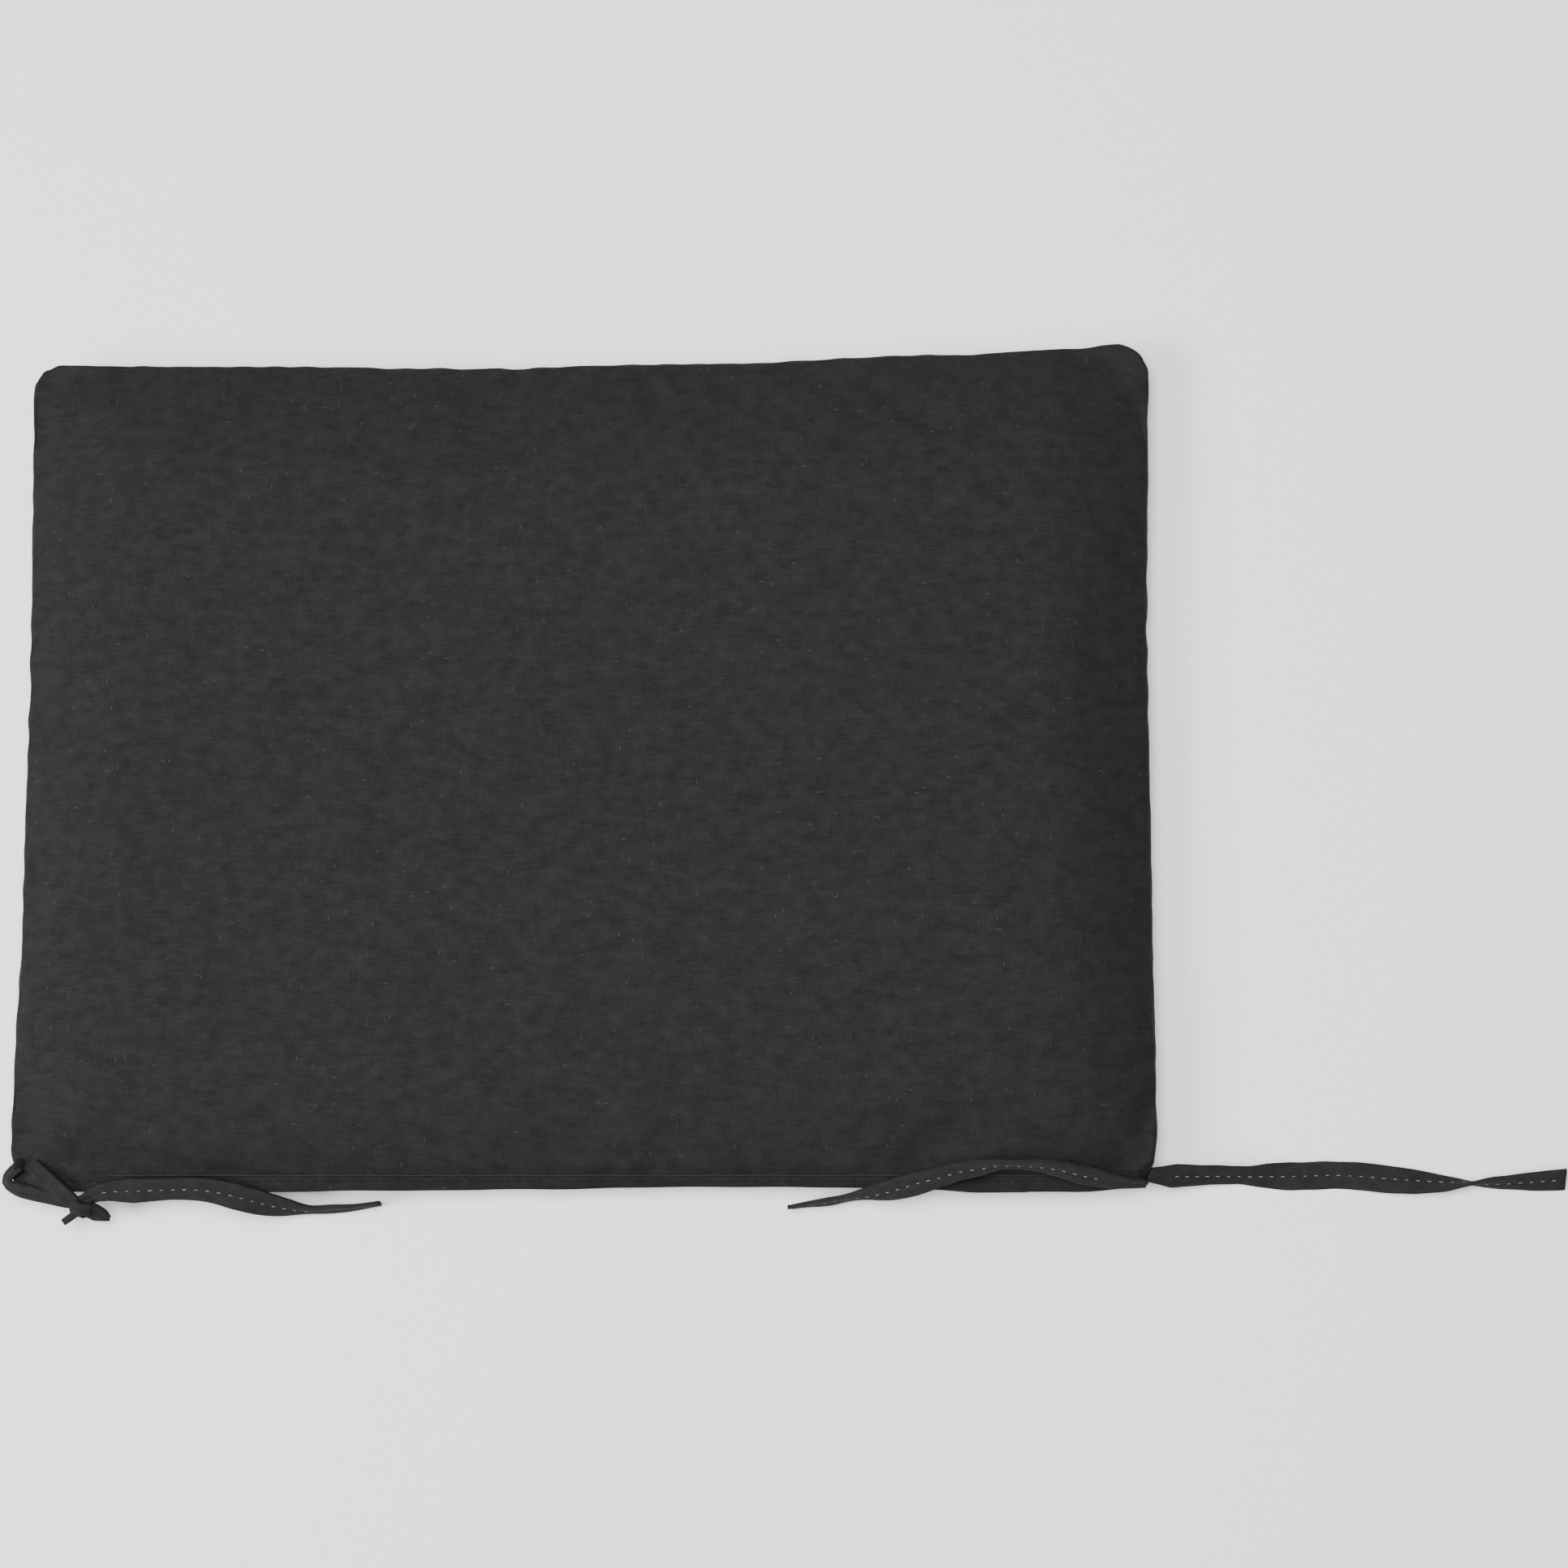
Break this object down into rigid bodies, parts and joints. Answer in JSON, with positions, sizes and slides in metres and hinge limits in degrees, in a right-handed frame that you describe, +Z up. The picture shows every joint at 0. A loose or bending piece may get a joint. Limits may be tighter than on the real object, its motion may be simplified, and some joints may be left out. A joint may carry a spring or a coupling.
{
  "type": "chair seat pad",
  "caption": "Rectangular dining chair seat pad with a foam core, a zip under a folded rear lip and flat tie tapes at its two rear corners.",
  "frame": {"origin": "on the surface that the pad lies on, under the middle of the pad, ties left out", "axes": "+X along the rear edge towards the right, +Y from the rear edge with the zip and ties towards the front, +Z up"},
  "size_m": [0.641, 0.355, 0.0396],
  "materials": {
    "cover_cloth": "matte",
    "tie_tape": "matte",
    "stitch_thread": "matte",
    "dark_thread": "matte",
    "zip_tape": "matte",
    "zip_coil": "satin",
    "slider_metal": "satin",
    "foam": "matte",
    "wadding": "matte"
  },
  "bodies": {
    "cover": {"top_panel": "cover_cloth", "bottom_panel": "cover_cloth", "zip_lip": "cover_cloth", "lip_topstitch": "stitch_thread", "wadding_wrap": "wadding", "foam_core": "foam", "zip_tape_upper": "zip_tape", "zip_tape_lower": "zip_tape", "zip_coil_upper": "zip_coil", "zip_coil_lower": "zip_coil", "zip_end_tacks": "dark_thread", "zip_seam_rows": "dark_thread", "left_tie_root": "tie_tape", "left_tie_bartack": "dark_thread", "right_tie_root": "tie_tape", "right_tie_bartack": "dark_thread", "left_tie_loop": "tie_tape", "left_tie_short_tail": "tie_tape", "left_tie_knot": "tie_tape", "left_tie_long_tail": "tie_tape", "right_tie_outer_tail": "tie_tape", "right_tie_inner_tail": "tie_tape"},
    "slider": {"zip_slider": "slider_metal", "zip_slider_bail": "slider_metal"},
    "pull_tab": {"zip_pull_tab": "slider_metal"}
  },
  "joints": [
    {"name": "zip_slide", "type": "slide", "parent": "cover", "child": "slider", "axis": [-1, 0, 0], "range_m": [0, 0.3528]},
    {"name": "tab_swing", "type": "hinge", "parent": "slider", "child": "pull_tab", "pos_m": [0.1764, -0.1669, 0.013], "axis": [0, 0, 1], "range_deg": [0, 170]}
  ]
}
